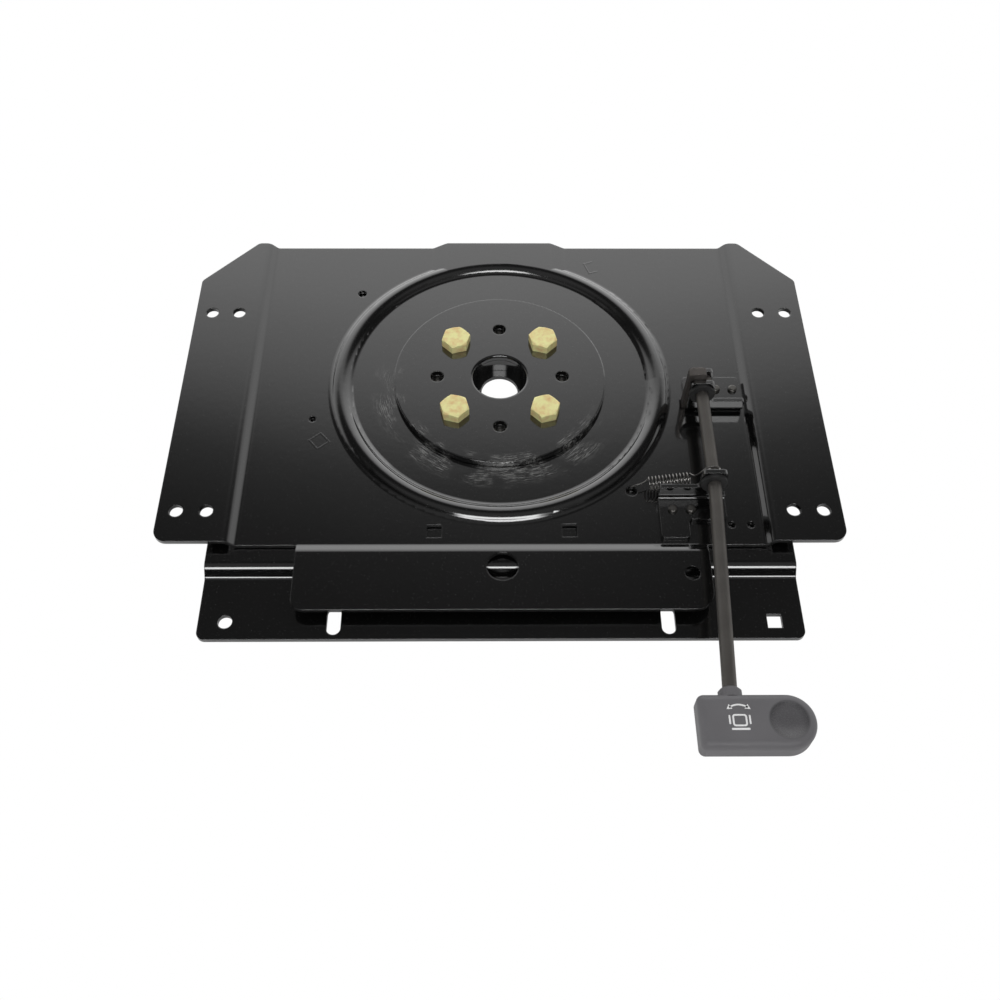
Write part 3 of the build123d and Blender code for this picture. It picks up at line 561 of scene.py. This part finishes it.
class SWIVEL_OT_stage(bpy.types.Operator):
    """Floor, light and the camera of the photograph"""
    bl_idname = "swivel.stage"
    bl_label = "Set the stage"

    def execute(self, context):
        self.floor()
        self.world()
        self.camera()
        context.scene.view_settings.view_transform = "Standard"
        return {"FINISHED"}

    def floor(self):
        low, high = CAD_BOX
        bpy.ops.mesh.primitive_plane_add(size=6.0, location=(0, 0, low[2] - 0.0002))
        floor = bpy.context.object
        floor.name = "floor"
        paint = Paint("floor_white")
        seen = paint.node("ShaderNodeLightPath", output="Is Camera Ray")
        dull = paint.node("ShaderNodeBsdfDiffuse", {}, {"Color": (0.85, 0.85, 0.85)})
        white = paint.node("ShaderNodeEmission", {}, {"Color": (1, 1, 1), "Strength": 1.0})
        paint.node_output(paint.node("ShaderNodeMixShader", {}, {0: seen, 1: dull, 2: white}))
        floor.data.materials.append(paint.material)

    def world(self):
        world = bpy.data.worlds.new("studio")
        world.use_nodes = True
        bpy.context.scene.world = world
        paint = Paint("studio", world.node_tree)
        camera = paint.node("ShaderNodeLightPath", output="Is Camera Ray")
        glossy = paint.node("ShaderNodeLightPath", output="Is Glossy Ray")
        where = paint.node("ShaderNodeTexCoord", output="Generated")
        parts = paint.node("ShaderNodeSeparateXYZ", {}, {"Vector": where}).socket.node
        up = Value(paint, parts.outputs["Z"])
        back = Value(paint, parts.outputs["Y"])
        side = Value(paint, parts.outputs["X"])
        level = (side * side + back * back) ** 0.5
        swing = side / level
        height = up.math("ARCTAN2", level) * (180 / math.pi) + swing * swing * 31.0
        wall = paint.node("ShaderNodeValToRGB", {"stops": self.wall_stops()}, {0: height / 90.0})
        aside = side.math("ABSOLUTE")
        behind = back.above(0.05, 0.3) * (1.0 - aside.above(0.52, 0.45) * 0.45)
        lamp_far, lamp_near, lamp_half_width, lamp_strength = -0.74, -0.57, 0.32, 6.5
        lamp = (1.0 - back.above(lamp_near, 0.06)) * back.above(lamp_far, 0.06)
        lamp = lamp * (1.0 - aside.above(lamp_half_width, 0.08)) * up.above(0.2, 0.2) * lamp_strength
        overhead = (1.0 - back.above(0.10, 0.30)) * up.above(0.70, 0.30)
        seen_by_gloss = 0.012 + wall * behind + lamp + overhead * 0.15
        strength = glossy * seen_by_gloss + (1.0 - glossy) * 0.9
        strength = camera * 1.0 + (1.0 - camera) * strength
        shine = paint.node("ShaderNodeBackground", {}, {"Color": (1, 1, 1), "Strength": strength})
        out = paint.tree.nodes.new("ShaderNodeOutputWorld")
        paint.tree.links.new(shine.socket, out.inputs["Surface"])

    @staticmethod
    def wall_stops():
        """Brightness of the wall behind by its height in degrees."""
        wall = ((0, 1.5), (34, 1.2), (43, 0.98), (46.5, 0.88), (48.5, 0.71), (50.5, 0.60), (52, 0.48),
                (53.5, 0.35), (54.5, 0.24), (56, 0.13), (58, 0.09), (60, 0.055), (64, 0.03), (90, 0.02))
        return [(height / 90, (value, value, value)) for height, value in wall]

    def camera(self):
        settings = stage_settings()
        down, turn, roll = settings.camera_down, settings.camera_turn, settings.camera_roll
        ahead = Vector((math.sin(turn) * math.cos(down), math.cos(turn) * math.cos(down), -math.sin(down)))
        right = Vector((math.cos(turn), -math.sin(turn), 0))
        top = right.cross(ahead)
        x_axis = math.cos(roll) * right + math.sin(roll) * top
        y_axis = math.cos(roll) * top - math.sin(roll) * right
        data = bpy.data.cameras.new("camera")
        data.lens = settings.lens
        data.sensor_width = 36.0
        data.clip_start = 0.02
        camera = bpy.data.objects.new("camera", data)
        turned = Matrix((x_axis, y_axis, -ahead)).transposed().to_4x4()
        camera.matrix_world = Matrix.Translation(settings.camera_place) @ turned
        bpy.context.scene.collection.objects.link(camera)
        bpy.context.scene.camera = camera


OPERATORS = (SWIVEL_OT_plates, SWIVEL_OT_metal, SWIVEL_OT_plastic, SWIVEL_OT_sign, SWIVEL_OT_stage)


class SWIVEL_PT_panel(bpy.types.Panel):
    """The steps that dress the swivel base"""
    bl_idname = "SWIVEL_PT_panel"
    bl_label = "Swivel base"
    bl_space_type = "VIEW_3D"
    bl_region_type = "UI"
    bl_category = "Swivel base"

    def draw(self, context):
        for operator in OPERATORS:
            self.layout.operator(operator.bl_idname)
        for group in (context.scene.swivel_finish, context.scene.swivel_sign, context.scene.swivel_stage):
            for name in group.__annotations__:
                self.layout.prop(group, name)


CLASSES = (SwivelFinish, SwivelSign, SwivelStage, *OPERATORS, SWIVEL_PT_panel)


def register():
    for each in CLASSES:
        bpy.utils.register_class(each)
    bpy.types.Scene.swivel_finish = bpy.props.PointerProperty(type=SwivelFinish)
    bpy.types.Scene.swivel_sign = bpy.props.PointerProperty(type=SwivelSign)
    bpy.types.Scene.swivel_stage = bpy.props.PointerProperty(type=SwivelStage)


def unregister():
    del bpy.types.Scene.swivel_finish
    del bpy.types.Scene.swivel_sign
    del bpy.types.Scene.swivel_stage
    for each in reversed(CLASSES):
        bpy.utils.unregister_class(each)


def main():
    register()
    bpy.ops.object.select_all(action="DESELECT")
    bpy.ops.swivel.plates()
    bpy.ops.swivel.metal()
    bpy.ops.swivel.plastic()
    bpy.ops.swivel.sign()
    bpy.ops.swivel.stage()


if __name__ == "__main__":
    main()
